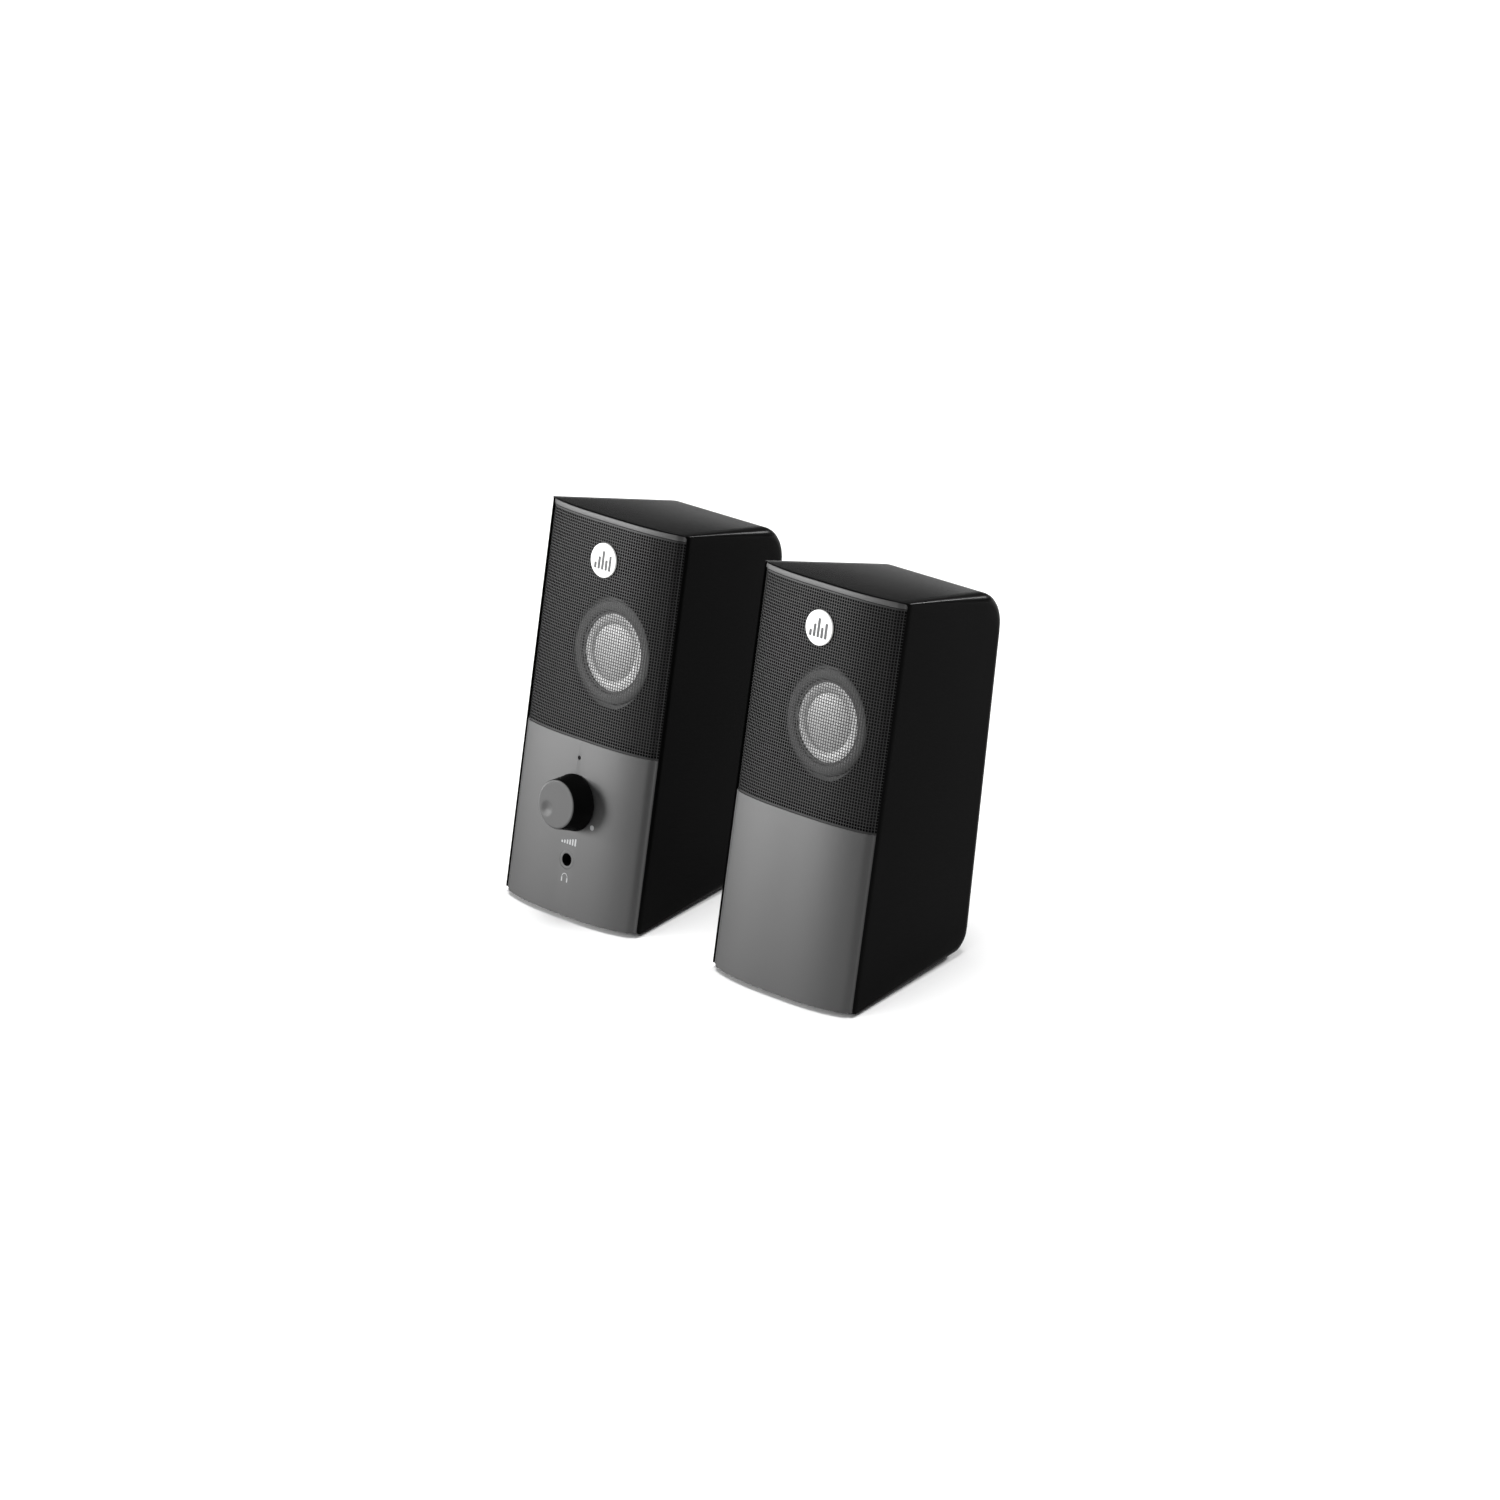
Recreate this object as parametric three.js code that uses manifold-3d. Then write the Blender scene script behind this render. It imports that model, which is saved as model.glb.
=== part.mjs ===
// A pair of small desktop speakers: an active unit on the left, with the volume
// knob, power light and headphone socket, and a passive unit on the right.
// Millimetres, +Z up, fronts face -Y. The group's origin is the middle of the
// bounding box's bottom.
import * as THREE from 'three';
import { mergeVertices } from 'three/addons/utils/BufferGeometryUtils.js';
import Module from 'manifold-3d';

const wasm = await Module();
wasm.setup();

// ---------------------------------------------------------------- dimensions
const SPACING = 120;          // between the two speakers' centre planes
const SHIFT_Y = -49.124;      // brings the bounding box's middle to y = 0
const FOOT_STAND = 1.2;       // the feet lift the cabinet by this much

const LEAN = Math.atan(0.1949);      // the front leans back 11 degrees
const REAR_LEAN = Math.atan(0.1354); // the back panel leans back 7.7 degrees
const APEX_Y = -3.1;          // the front's foremost line, at floor level

const HALF_W = 39.13;         // half the front's width
const SAGITTA = 5.8;          // how far the front's edges fall behind its middle
const TAPER = 0.15678;        // each side's inward slope towards the back
const SIDE_START = 2.68;      // depth where the side's slope starts
const EDGE_R = 4.4;           // rounding of the two front edges
const REAR_D = 85.98;         // depth of the back at floor level
const TOP_Z = 172.22;         // the top plane's height at y = 0
const TOP_SLOPE = 0.22462;    // and its fall towards the back
const TOP_REAR_R = 16.3;      // rounding of the top's back edge
const LOW_REAR_R = 10.1;      // rounding of the bottom's back edge
const REAR_EDGE_R = 2.2;      // rounding of the upright back edges

const WALL = 2.4;             // cabinet wall
const REAR_WALL = 5;          // the thicker back wall that takes the screws
const GAP = 0.25;             // assembly gap between neighbouring pieces

const PANEL_HALF = 36.5;      // half the width of the grey front pieces
const PANEL_T = 2.2;          // their thickness
const FASCIA_H = [1.5, 74.8]; // heights along the leaning front
const GRILLE_H = [75.0, 165.8];
const TRIM_H = [166.0, 168.2];
const GRILLE_T = 0.8;

const BADGE_H = 150.4, BADGE_R = 7.1, BADGE_T = 0.6;
const LED_H = 67.5, LED_R = 0.75;
const KNOB_H = 48.6, KNOB_R = 11.9, KNOB_FACE_R = 10.3, KNOB_OUT = 10.5;
const JACK_H = 24.2, JACK_NOSE_R = 4, JACK_HOLE_R = 1.8;
const SHAFT_R = 3;
const RUNNING = 0.05;         // radial clearance of the turning shaft

const DRIVER_H = 111, DRIVER_C = 12;      // axis height, depth of the lips
const CONE_R = 16.6, RING_R = 22;         // cone edge, surround's outer edge
const BAFFLE_C = 9, BAFFLE_T = 3, BAFFLE_HOLE_R = 23.4;
const BASKET_R = 25.5;

// -------------------------------------------------------------------- looks
const look = (color, roughness, metalness) => ({ color, roughness, metalness });
const LOOKS = {
  gloss_black: look(0x0b0b0c, 0.16, 0),
  satin_grey: look(0x5f6063, 0.42, 0.1),
  mesh_black: look(0x2a2a2b, 0.5, 0.6),
  matte_black: look(0x161617, 0.6, 0),
  print_white: look(0xf4f4f2, 0.4, 0),
  cone_silver: look(0xc9cacb, 0.35, 0.3),
  rubber: look(0x3b3b3c, 0.75, 0),
  black_steel: look(0x18191a, 0.4, 0.7),
  ferrite: look(0x35363a, 0.7, 0.1),
  zinc_steel: look(0xb4b6b9, 0.3, 1),
  kapton: look(0xb5762a, 0.35, 0.1),
  cotton: look(0xc8a05a, 0.9, 0),
  knob_grey: look(0x55565a, 0.35, 0.1),
  board_green: look(0x1f5a34, 0.5, 0),
  chip_black: look(0x202124, 0.5, 0.2),
  lens: look(0x9fb4c4, 0.15, 0),
};

// ------------------------------------------------------------------ helpers
// Turns a three.js geometry into a manifold solid and back.
function solid(geometry) {
  const g = geometry.clone();
  g.deleteAttribute('normal');
  g.deleteAttribute('uv');
  const m = mergeVertices(g, 1e-4);
  const mesh = new wasm.Mesh({
    numProp: 3,
    vertProperties: new Float32Array(m.attributes.position.array),
    triVerts: new Uint32Array(m.index.array),
  });
  return new wasm.Manifold(mesh);
}

function geometryOf(manifold) {
  const mesh = manifold.getMesh();
  const g = new THREE.BufferGeometry();
  g.setAttribute('position', new THREE.BufferAttribute(new Float32Array(mesh.vertProperties), 3));
  g.setIndex(new THREE.BufferAttribute(new Uint32Array(mesh.triVerts), 1));
  return g;
}

const cut = (body, ...tools) =>
  geometryOf(tools.reduce((m, t) => m.subtract(solid(t)), solid(body)));
const join = (body, ...more) =>
  geometryOf(more.reduce((m, t) => m.add(solid(t)), solid(body)));
const common = (a, b) => geometryOf(solid(a).intersect(solid(b)));

// A closed outline of [u, v] points pushed along z from a to b.
function prism(points, a, b) {
  const shape = new THREE.Shape(points.map(([u, v]) => new THREE.Vector2(u, v)));
  const g = new THREE.ExtrudeGeometry(shape, { depth: b - a, bevelEnabled: false });
  return g.translate(0, 0, a);
}

// A closed ring of [radius, c] points turned about the c axis (local y).
function turned(profile, segments = 40) {
  let area = 0;
  profile.forEach(([r, c], i) => {
    const [r2, c2] = profile[(i + 1) % profile.length];
    area += r * c2 - r2 * c;
  });
  const ring = area > 0 ? [...profile] : [...profile].reverse();
  const onAxis = ring.findIndex(([r], i) => r === 0 && ring.at(i - 1)[0] === 0);
  const open = onAxis < 0 ? [...ring, ring[0]] : [...ring.slice(onAxis), ...ring.slice(0, onAxis)];
  return new THREE.LatheGeometry(open.map(([r, c]) => new THREE.Vector2(r, c)), segments);
}

const disc = (r, c0, c1, segments = 32) => turned([[0, c0], [r, c0], [r, c1], [0, c1]], segments);
const tube = (r0, r1, c0, c1, segments = 32) =>
  turned([[r0, c0], [r1, c0], [r1, c1], [r0, c1]], segments);

// A box given by its limits along x, c and h.
function block(x, c, h) {
  const g = new THREE.BoxGeometry(x[1] - x[0], c[1] - c[0], h[1] - h[0]);
  return g.translate((x[0] + x[1]) / 2, (c[0] + c[1]) / 2, (h[0] + h[1]) / 2);
}

// A rounded rectangle's outline, width 2a, height 2b, corner radius r.
function roundedRect(a, b, r, steps = 4) {
  const points = [];
  for (const [sx, sy, start] of [[1, 1, 0], [-1, 1, 1], [-1, -1, 2], [1, -1, 3]]) {
    for (let i = 0; i <= steps; i += 1) {
      const t = (start + i / steps) * Math.PI / 2;
      points.push([sx * (a - r) + r * Math.cos(t), sy * (b - r) + r * Math.sin(t)]);
    }
  }
  return points;
}

// Points of the fillet of radius r at corner p between unit directions u and v.
function fillet(p, u, v, r, steps = 8) {
  const cosine = u[0] * v[0] + u[1] * v[1];
  const half = Math.acos(cosine) / 2;
  const run = r / Math.tan(half);
  const norm = Math.hypot(u[0] + v[0], u[1] + v[1]);
  const mid = [(u[0] + v[0]) / norm, (u[1] + v[1]) / norm];
  const o = [p[0] + mid[0] * r / Math.sin(half), p[1] + mid[1] * r / Math.sin(half)];
  const a = [p[0] + u[0] * run - o[0], p[1] + u[1] * run - o[1]];
  const b = [p[0] + v[0] * run - o[0], p[1] + v[1] * run - o[1]];
  const turn = Math.PI - 2 * half;
  return Array.from({ length: steps + 1 }, (_, i) => {
    const s = Math.sin(turn * (1 - i / steps)) / Math.sin(turn);
    const t = Math.sin(turn * i / steps) / Math.sin(turn);
    return [o[0] + a[0] * s + b[0] * t, o[1] + a[1] * s + b[1] * t];
  });
}

const unit = (a, b) => {
  const n = Math.hypot(a, b);
  return [a / n, b / n];
};

// The leaning frames: x across, c straight back into the wall, h up along it.
function leaning(angle, y0) {
  const s = Math.sin(angle), c = Math.cos(angle);
  return new THREE.Matrix4().makeBasis(
    new THREE.Vector3(1, 0, 0), new THREE.Vector3(0, c, -s), new THREE.Vector3(0, s, c),
  ).setPosition(0, y0, 0);
}
const FRONT = leaning(LEAN, APEX_Y);
const REAR = leaning(REAR_LEAN, REAR_D);

// ---------------------------------------------------------- the front's curve
const front = (x) => SAGITTA * Math.abs(x / HALF_W) ** 3;

// A curved panel: the front's curve from c = lift to c = lift + t, width 2w.
function curvedPanel(w, lift, t, heights, steps = 14) {
  const xs = Array.from({ length: steps + 1 }, (_, i) => w * (2 * i / steps - 1));
  const outer = xs.map((x) => [x, front(x) + lift]);
  const inner = xs.map((x) => [x, front(x) + lift + t]).reverse();
  return prism([...outer, ...inner], heights[0], heights[1]);
}

// ---------------------------------------------------------------- the cabinet
// The side outline, from the front to the back, offset inwards by `inset`.
function sideOutline(inset, rearInset) {
  const top = (y) => TOP_Z - TOP_SLOPE * y - inset / Math.cos(Math.atan(TOP_SLOPE));
  const slope = Math.tan(REAR_LEAN);
  const rear = (z) => REAR_D + slope * z - rearInset / Math.cos(REAR_LEAN);
  const yTop = (REAR_D - rearInset / Math.cos(REAR_LEAN) + slope * top(0)) / (1 + slope * TOP_SLOPE);
  const topRear = [yTop, top(yTop)];
  const lowRear = [rear(inset), inset];
  const alongTop = unit(-1, TOP_SLOPE);
  const downRear = unit(-slope, -1);
  const upRear = unit(slope, 1);
  const points = [[-40, inset]];
  points.push(...fillet(lowRear, [-1, 0], upRear, LOW_REAR_R - inset));
  points.push(...fillet(topRear, downRear, alongTop, TOP_REAR_R - inset));
  points.push([-40, top(-40)]);
  return points;
}

// The right half of the outer plan, in (x, depth): a point well ahead of the face, which is
// cut to its curve later, then the rounded front edge and the rounded back edge.
function roundedHalf(side) {
  const back = unit(-TAPER, 1);
  const forwards = [-back[0], -back[1]];
  const frontEdge = fillet([side(SIDE_START), SIDE_START], unit(-1, -0.44), back, EDGE_R, 6);
  const rearEdge = fillet([side(REAR_D), REAR_D], forwards, [-1, 0], REAR_EDGE_R, 4);
  const [x, d] = frontEdge[0];
  return [[x - 10, d - 4.2], ...frontEdge, ...rearEdge];
}

// The plan outline, mirrored from its right half. The cavity's plain one runs past both ends.
function planOutline(inset, rounded) {
  const side = (d) => HALF_W - TAPER * (d - SIDE_START) - inset * Math.hypot(1, TAPER);
  const ends = [-40, REAR_D + 30];
  const half = rounded ? roundedHalf(side) : ends.map((d) => [side(d), d]);
  return [...half, ...half.map(([x, d]) => [-x, d]).reverse()];
}

// Plan outlines follow the front's lean as they rise.
const SHEAR = new THREE.Matrix4().set(
  1, 0, 0, 0, 0, 1, Math.tan(LEAN), 0, 0, 0, 1, 0, 0, 0, 0, 1,
);
const SIDEWAYS = new THREE.Matrix4().makeBasis(
  new THREE.Vector3(0, 1, 0), new THREE.Vector3(0, 0, 1), new THREE.Vector3(1, 0, 0),
);

function cabinetBody() {
  const outer = common(
    prism(planOutline(0, true), -1, 190).applyMatrix4(SHEAR),
    prism(sideOutline(0, 0), -60, 60).applyMatrix4(SIDEWAYS),
  );
  const cavity = common(
    prism(planOutline(WALL, false), -1, 190).applyMatrix4(SHEAR),
    prism(sideOutline(WALL, REAR_WALL), -60, 60).applyMatrix4(SIDEWAYS),
  );
  const ahead = [];
  for (let i = 0; i <= 16; i += 1) {
    const x = 50 * (i / 8 - 1);
    ahead.push([x, front(Math.min(Math.abs(x), HALF_W)) - 0.1]);
  }
  const beforeFront = prism([[-50, -60], [50, -60], ...ahead.reverse()], -40, 220);
  const rebate = curvedPanel(PANEL_HALF + GAP, -30, 30 + PANEL_T + GAP, [-40, TRIM_H[1] + 0.15]);
  return cut(
    outer, cavity,
    beforeFront.applyMatrix4(FRONT), rebate.applyMatrix4(FRONT),
    ...footSpots().map(([x, y]) => upright(FOOT_R + 0.3, -1, 0.6).translate(x, y, 0)),
    ...rearCutters(),
  );
}

// ----------------------------------------------------------------------- feet
const FOOT_R = 5;
const footSpots = () => [[-27, 13], [27, 13], [-17, 76], [17, 76]];
const upright = (r, z0, z1) => disc(r, z0, z1, 20).rotateX(Math.PI / 2);
function foot() {
  const w = FOOT_R, s = FOOT_STAND;
  return turned([[0, -0.3], [w, -0.3], [w, s - 0.4], [w - 0.4, s], [0, s]], 20)
    .rotateX(-Math.PI / 2);
}

// ----------------------------------------------------------------- back panel
const PLATE = { half: 20, low: 15, high: 126, corner: 5, t: 2 };
const SCREW_X = 16.4, SCREW_HEAD_R = 2.6, SCREW_R = 1.3;
const screwSpots = () => [PLATE.low + 4.5, PLATE.high - 4.5]
  .flatMap((v) => [-SCREW_X, SCREW_X].map((x) => [x, v]));

// A plate outline standing in the rear frame, between depths n0 and n1.
function plate(half, low, high, corner, n0, n1) {
  const mid = (low + high) / 2;
  return prism(roundedRect(half, (high - low) / 2, corner), -n1, -n0)
    .rotateX(Math.PI / 2).translate(0, 0, mid);
}

function rearCutters() {
  const { half, low, high, corner, t } = PLATE;
  const g = GAP;
  const recess = plate(half + g, low - g, high + g, corner + g, -t - g, 3);
  const opening = plate(12.5, low + 10, high - 10, 4, -REAR_WALL - 6, 3);
  const holes = screwSpots().map(([x, v]) => disc(SCREW_R + 0.3, -REAR_WALL + 0.6, 0, 12)
    .translate(x, 0, v));
  return [recess, opening, ...holes].map((g2) => g2.applyMatrix4(REAR));
}

function rearPanel(glands) {
  const { half, low, high, corner, t } = PLATE;
  const holes = screwSpots().flatMap(([x, v]) => [
    disc(SCREW_R + 0.3, -t - 1, 1, 12).translate(x, 0, v),
    disc(SCREW_HEAD_R + 0.3, -1.2, 1, 16).translate(x, 0, v),
  ]);
  const outlets = glands.map(([x, v]) => disc(GLAND_R + 0.3, -t - 1, 1, 24).translate(x, 0, v));
  return cut(plate(half, low, high, corner, -t, 0), ...holes, ...outlets);
}

const screw = () => cut(
  turned([[0, -4.2], [SCREW_R, -4.2], [SCREW_R, -0.9], [SCREW_HEAD_R, -0.9],
    [SCREW_HEAD_R, -0.3], [1.9, 0.1], [0, 0.1]], 12),
  block([-1.6, 1.6], [-0.5, 1], [-0.3, 0.3]), block([-0.3, 0.3], [-0.5, 1], [-1.6, 1.6]),
);

const GLAND_R = 3.6, GLAND_BORE_R = 1.7;
const gland = () => turned([[GLAND_BORE_R, -4], [GLAND_R, -4], [GLAND_R, 0.3], [5, 0.3], [5, 1.5],
  [3.4, 2.2], [2.9, 6.5], [GLAND_BORE_R, 6.5]], 20);

// -------------------------------------------------------------- loudspeaker
// Everything here is turned about the driver's own axis; c grows to the back.
const LIP = DRIVER_C;
const basket = () => {
  const frame = turned([[RING_R - 2, LIP + 0.5], [BASKET_R, LIP + 0.5], [BASKET_R, LIP + 1.7],
    [22.6, LIP + 1.7], [18, LIP + 12.5], [17, LIP + 15.6], [9.5, LIP + 15.6], [9.5, LIP + 14.6],
    [16.2, LIP + 14.6], [17, LIP + 12.2], [RING_R - 2, LIP + 2.2]], 32);
  const windows = [0, 1, 2, 3].map((i) => block([-6.5, 6.5], [LIP + 4, LIP + 11], [12, 30])
    .rotateY(i * Math.PI / 2 + Math.PI / 4));
  return cut(frame, ...windows);
};

// The half roll bulges to the front between the cone's edge and the basket.
function surround() {
  const inner = CONE_R - 0.4, outer = RING_R, rollIn = CONE_R + 1, rollOut = RING_R - 1.2;
  const mid = (rollIn + rollOut) / 2, r = (rollOut - rollIn) / 2, t = 0.5;
  const arc = (rr, height) => Array.from({ length: 5 }, (_, i) => {
    const a = Math.PI * i / 4;
    return [mid - rr * Math.cos(a), LIP - height * Math.sin(a)];
  });
  const face = arc(r, 1.9), back = arc(r - t, 1.9 - t).map(([a, c]) => [a, c + 0.4]).reverse();
  return turned([[inner, LIP], ...face, [outer, LIP], [outer, LIP + 0.4], ...back,
    [inner, LIP + 0.4]], 32);
}

const cone = () => turned([[CONE_R, LIP + 0.6], [11, LIP + 3.4], [7.1, LIP + 8.2],
  [7.1, LIP + 9], [11.4, LIP + 4.1], [CONE_R, LIP + 1.2]], 32);
const dustCap = () => turned([[0, LIP + 2.6], [3, LIP + 2.9], [5.6, LIP + 4], [7.2, LIP + 5.8],
  [6.7, LIP + 6], [5.2, LIP + 4.5], [2.8, LIP + 3.4], [0, LIP + 3.1]], 24);
const voiceCoil = () => tube(6.1, 6.7, LIP + 6.4, LIP + 21, 24);

// The corrugated disc that centres the coil.
function spider() {
  const face = [], steps = 6, r0 = 7, r1 = 15.2;
  for (let i = 0; i <= steps; i += 1) {
    face.push([r0 + (r1 - r0) * i / steps, LIP + 12.6 + (i % 2 ? 0.5 : -0.5)]);
  }
  return turned([...face, ...face.map(([r, c]) => [r, c + 0.5]).reverse()], 24);
}

const topPlate = () => tube(7.2, 17, LIP + 15.9, LIP + 19.4, 24);
const magnet = () => tube(9.5, 18, LIP + 19.7, LIP + 27.2, 24);
const yoke = () => turned([[0, LIP + 16], [5.6, LIP + 16], [5.6, LIP + 27.5], [17, LIP + 27.5],
  [17, LIP + 30.5], [0, LIP + 30.5]], 24);

const baffle = () => {
  const side = 34.6;
  return cut(
    block([-side, side], [BAFFLE_C, BAFFLE_C + BAFFLE_T], [76.5, 164.6]),
    disc(BAFFLE_HOLE_R, 0, 30, 40).translate(0, 0, DRIVER_H),
  );
};

// ---------------------------------------------------------------- front pieces
function fascia(active) {
  const panel = curvedPanel(PANEL_HALF, 0, PANEL_T, FASCIA_H);
  if (!active) return panel;
  return cut(
    panel,
    disc(LED_R + 0.15, -3, 6, 16).translate(0, 0, LED_H),
    disc(SHAFT_R + 0.8, -3, 6, 24).translate(0, 0, KNOB_H),
    disc(JACK_NOSE_R + 0.2, -3, 6, 28).translate(0, 0, JACK_H),
  );
}

// The knob: a tapered cap with a small finger dimple that shows where it points.
function knob() {
  const back = -0.4, face = -KNOB_OUT;
  const cap = turned([[0, face], [KNOB_FACE_R - 0.7, face], [KNOB_FACE_R, face + 0.6],
    [KNOB_R, back], [SHAFT_R + RUNNING, back], [SHAFT_R + RUNNING, face + 2.6],
    [0, face + 2.6]], 40);
  const angle = 211 * Math.PI / 180, reach = 5.2, ball = 7, depth = 0.55;
  const finger = new THREE.SphereGeometry(ball, 28, 18)
    .translate(reach * Math.cos(angle), face - ball + depth, reach * Math.sin(angle));
  return cut(cap, finger);
}
const shaft = () => cut(
  disc(SHAFT_R, -KNOB_OUT + 2.8, 6.2, 28),
  block([-4, 4], [-KNOB_OUT, -4], [SHAFT_R - 0.9, SHAFT_R + 1]),
);
const potBody = () => cut(
  block([-7, 7], [3, 8.9], [-7, 7]),
  disc(SHAFT_R + RUNNING, 2, 6.4, 28),
);

const jack = () => cut(
  join(block([-4.5, 4.5], [3, 8.9], [-5.5, 6]), disc(JACK_NOSE_R, 0.3, 4, 28)),
  disc(JACK_HOLE_R, 0, 7.8, 24),
  turned([[0, 0.2], [JACK_HOLE_R + 0.75, 0.2], [JACK_HOLE_R, 1], [0, 1]], 24),
);
const lightPipe = () => turned([[0, 0.1], [LED_R, 0.1], [LED_R, 3], [1.6, 3], [1.6, 8.4],
  [0, 8.4]], 16);
const board = () => cut(
  block([-28, 28], [9.2, 10.8], [9, 72]),
  ...[[-24, 13], [24, 13], [-24, 68], [24, 68]].map(([x, h]) => disc(1.6, 8, 12, 14)
    .translate(x, 0, h)),
);

// A comb of cooling fins on a base, standing on the board's back face.
function heatSink() {
  const fins = 6, pitch = 2.4, thick = 1, left = 11, base = 11.1, root = 13, tip = 20;
  const outline = [[left, base]];
  for (let i = 0; i < fins; i += 1) {
    const x = left + i * pitch;
    outline.push([x, tip], [x + thick, tip], [x + thick, root]);
    if (i < fins - 1) outline.push([x + pitch, root]);
  }
  outline.push([left + (fins - 1) * pitch + thick, base]);
  return prism(outline, 26, 46);
}
const capacitor = () => turned([[0, 11.1], [5, 11.1], [5, 23.2], [4.4, 23.8], [0, 23.8]], 24);

// ------------------------------------------------------------------- assembly
const group = new THREE.Group();
group.name = 'desktop_speakers';

function add(parent, name, kind, geometry, frame) {
  geometry.deleteAttribute('uv');
  geometry.deleteAttribute('normal');
  if (frame) geometry.applyMatrix4(frame);
  const closed = mergeVertices(geometry, 1e-4);
  closed.computeVertexNormals();
  const { color, roughness, metalness } = LOOKS[kind];
  const material = new THREE.MeshStandardMaterial({ color, roughness, metalness });
  material.name = kind;
  const mesh = new THREE.Mesh(closed, material);
  mesh.name = name;
  parent.add(mesh);
}

function addSpeaker(side, active) {
  const unitGroup = new THREE.Group();
  unitGroup.position.set(side === 'left' ? -SPACING / 2 : SPACING / 2, SHIFT_Y, FOOT_STAND);
  const put = (name, kind, geometry, frame) => add(
    unitGroup, `${side}_${name}`, kind, geometry, frame,
  );
  const atFront = (h) => FRONT.clone().multiply(new THREE.Matrix4().makeTranslation(0, 0, h));
  const atRear = (x, v) => REAR.clone().multiply(new THREE.Matrix4().makeTranslation(x, 0, v));
  const glands = active ? [[-7, 34], [7, 34]] : [[0, 34]];

  put('cabinet', 'gloss_black', cabinetBody());
  put('rear_panel', 'matte_black', rearPanel(glands), REAR);
  put('baffle', 'matte_black', baffle(), FRONT);
  put('fascia', 'satin_grey', fascia(active), FRONT);
  put('top_trim', 'satin_grey', curvedPanel(PANEL_HALF, 0, PANEL_T, TRIM_H), FRONT);
  put('grille', 'mesh_black', curvedPanel(PANEL_HALF, 0.3, GRILLE_T, GRILLE_H), FRONT);
  put('badge', 'print_white', disc(BADGE_R, -BADGE_T, 0.1, 40), atFront(BADGE_H));

  const driver = atFront(DRIVER_H);
  put('driver_basket', 'black_steel', basket(), driver);
  put('driver_surround', 'rubber', surround(), driver);
  put('driver_cone', 'cone_silver', cone(), driver);
  put('driver_dust_cap', 'cone_silver', dustCap(), driver);
  put('voice_coil', 'kapton', voiceCoil(), driver);
  put('spider', 'cotton', spider(), driver);
  put('driver_top_plate', 'zinc_steel', topPlate(), driver);
  put('driver_magnet', 'ferrite', magnet(), driver);
  put('driver_yoke', 'zinc_steel', yoke(), driver);

  footSpots().forEach(([x, y], i) => {
    put(`foot_${i + 1}`, 'rubber', foot().translate(x, y, 0));
  });
  screwSpots().forEach(([x, v], i) => {
    put(`screw_${i + 1}`, 'black_steel', screw(), atRear(x, v));
  });
  glands.forEach(([x, v], i) => {
    put(`cable_gland_${i + 1}`, 'rubber', gland(), atRear(x, v));
  });

  if (active) {
    put('volume_knob', 'knob_grey', knob(), atFront(KNOB_H));
    put('pot_shaft', 'zinc_steel', shaft(), atFront(KNOB_H));
    put('pot_body', 'chip_black', potBody(), atFront(KNOB_H));
    put('headphone_jack', 'matte_black', jack(), atFront(JACK_H));
    put('power_light', 'lens', lightPipe(), atFront(LED_H));
    put('amp_board', 'board_green', board(), FRONT);
    put('heat_sink', 'zinc_steel', heatSink(), FRONT);
    put('capacitor', 'chip_black', capacitor(), FRONT.clone()
      .multiply(new THREE.Matrix4().makeTranslation(-14, 0, 34)));
  }
  group.add(unitGroup);
}

addSpeaker('left', true);
addSpeaker('right', false);

export default group;
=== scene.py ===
# %% [markdown]
# # A pair of small desktop speakers
# The speakers stand side by side, leaning back a little. The one on the left holds the
# amplifier, so it has the volume knob, the power light and the headphone socket. This
# lesson loads the mechanical frame and then makes every visible skin over it: the cabinets,
# the curved grey fronts, the perforated grilles and the small parts that make them real.

# %% Load the mechanical frame
import math

import bmesh
import bpy
import numpy as np
from mathutils import Matrix, Vector


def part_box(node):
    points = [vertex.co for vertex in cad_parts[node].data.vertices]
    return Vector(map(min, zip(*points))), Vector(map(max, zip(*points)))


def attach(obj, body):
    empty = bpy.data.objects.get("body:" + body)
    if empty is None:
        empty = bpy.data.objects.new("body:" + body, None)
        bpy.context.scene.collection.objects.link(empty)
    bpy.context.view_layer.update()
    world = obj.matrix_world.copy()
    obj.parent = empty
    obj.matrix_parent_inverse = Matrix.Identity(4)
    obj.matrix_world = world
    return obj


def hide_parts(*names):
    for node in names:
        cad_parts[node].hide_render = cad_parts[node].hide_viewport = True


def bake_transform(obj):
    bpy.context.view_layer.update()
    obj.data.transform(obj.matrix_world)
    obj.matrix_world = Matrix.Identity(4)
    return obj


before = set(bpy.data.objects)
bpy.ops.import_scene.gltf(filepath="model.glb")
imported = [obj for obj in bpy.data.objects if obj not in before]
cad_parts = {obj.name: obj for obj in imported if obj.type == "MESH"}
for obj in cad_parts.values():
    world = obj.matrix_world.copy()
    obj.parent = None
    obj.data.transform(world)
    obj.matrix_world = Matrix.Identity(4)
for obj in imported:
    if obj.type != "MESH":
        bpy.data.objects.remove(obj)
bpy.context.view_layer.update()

# %% [markdown]
# ## Where things are
# Each speaker is drawn in its own millimetres. The front leans back, so most pieces are
# placed by x across it, c straight back into it and h up along it. One function turns
# (x, c, h) into a place in the room, and every new piece goes through it. The cabinet's
# numbers are the ones that the mechanical parts were made with. The front pieces are
# wider here than there, because the black lip beside them is thin.

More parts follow.
